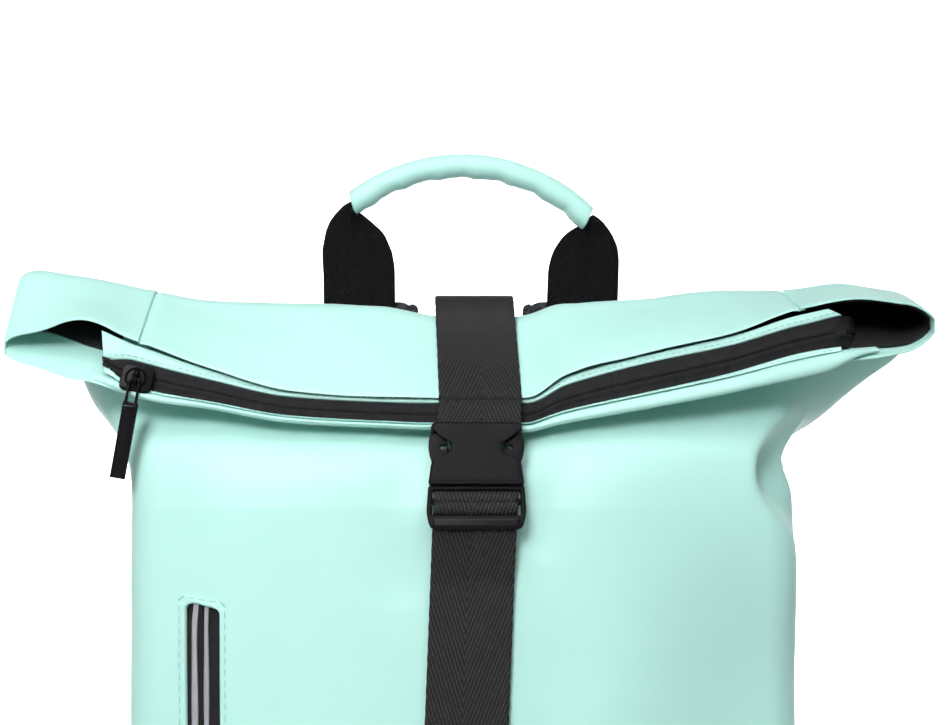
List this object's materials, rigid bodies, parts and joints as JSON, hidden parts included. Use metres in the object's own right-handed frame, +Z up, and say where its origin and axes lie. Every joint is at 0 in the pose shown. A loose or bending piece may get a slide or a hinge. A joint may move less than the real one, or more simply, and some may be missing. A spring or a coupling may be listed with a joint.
{
  "type": "rolltop backpack",
  "caption": "Soft rolltop backpack in coated cloth, its zipped mouth folded forward under a buckled webbing strap, with a top handle, a zipped front pocket and padded shoulder straps.",
  "frame": {"origin": "middle of the base, on the face the bag stands on", "axes": "+Z up, the front with the pocket and the buckle faces -Y, +X runs to the right as the front is seen"},
  "size_m": [0.429, 0.1818, 0.5189],
  "materials": {
    "coated_fabric": "smooth coated cloth, soft sheen",
    "black_lining": "matt woven lining",
    "webbing": "herringbone webbing",
    "black_plastic": "moulded, fine satin",
    "black_metal": "gloss black",
    "padded_mesh": "spacer mesh over foam",
    "zip_tape": "woven tape and coil",
    "reflective_tape": "silver reflective ribbon"
  },
  "bodies": {
    "bag": {"front_panel": "coated_fabric", "back_panel": "coated_fabric", "gusset_right": "coated_fabric", "gusset_left": "coated_fabric", "base_panel": "coated_fabric", "zip_facing_upper": "coated_fabric", "zip_facing_lower": "coated_fabric", "handle_grip": "coated_fabric", "lining_right": "black_lining", "lining_left": "black_lining", "strap_upper": "webbing", "strap_lower": "webbing", "handle_leg_left": "webbing", "handle_leg_right": "webbing", "shoulder_webbing_left": "webbing", "shoulder_webbing_right": "webbing", "buckle_housing": "black_plastic", "buckle_insert": "black_plastic", "shoulder_adjuster_left": "black_plastic", "shoulder_adjuster_right": "black_plastic", "zip_slider": "black_metal", "back_pad": "padded_mesh", "shoulder_strap_left": "padded_mesh", "shoulder_strap_right": "padded_mesh", "zip_tape_upper": "zip_tape", "zip_tape_lower": "zip_tape", "zip_coil": "zip_tape", "pocket_tape": "zip_tape", "pocket_coil": "zip_tape", "pocket_stripe_left": "reflective_tape", "pocket_stripe_right": "reflective_tape"},
    "pull": {"zip_pull": "black_metal"}
  },
  "joints": [
    {"name": "pull_swing", "type": "hinge", "parent": "bag", "child": "pull", "pos_m": [-0.15045, -0.06546, 0.40205], "axis": [-0.9843, -0.0281, 0.1744], "range_deg": [0, 120]}
  ]
}
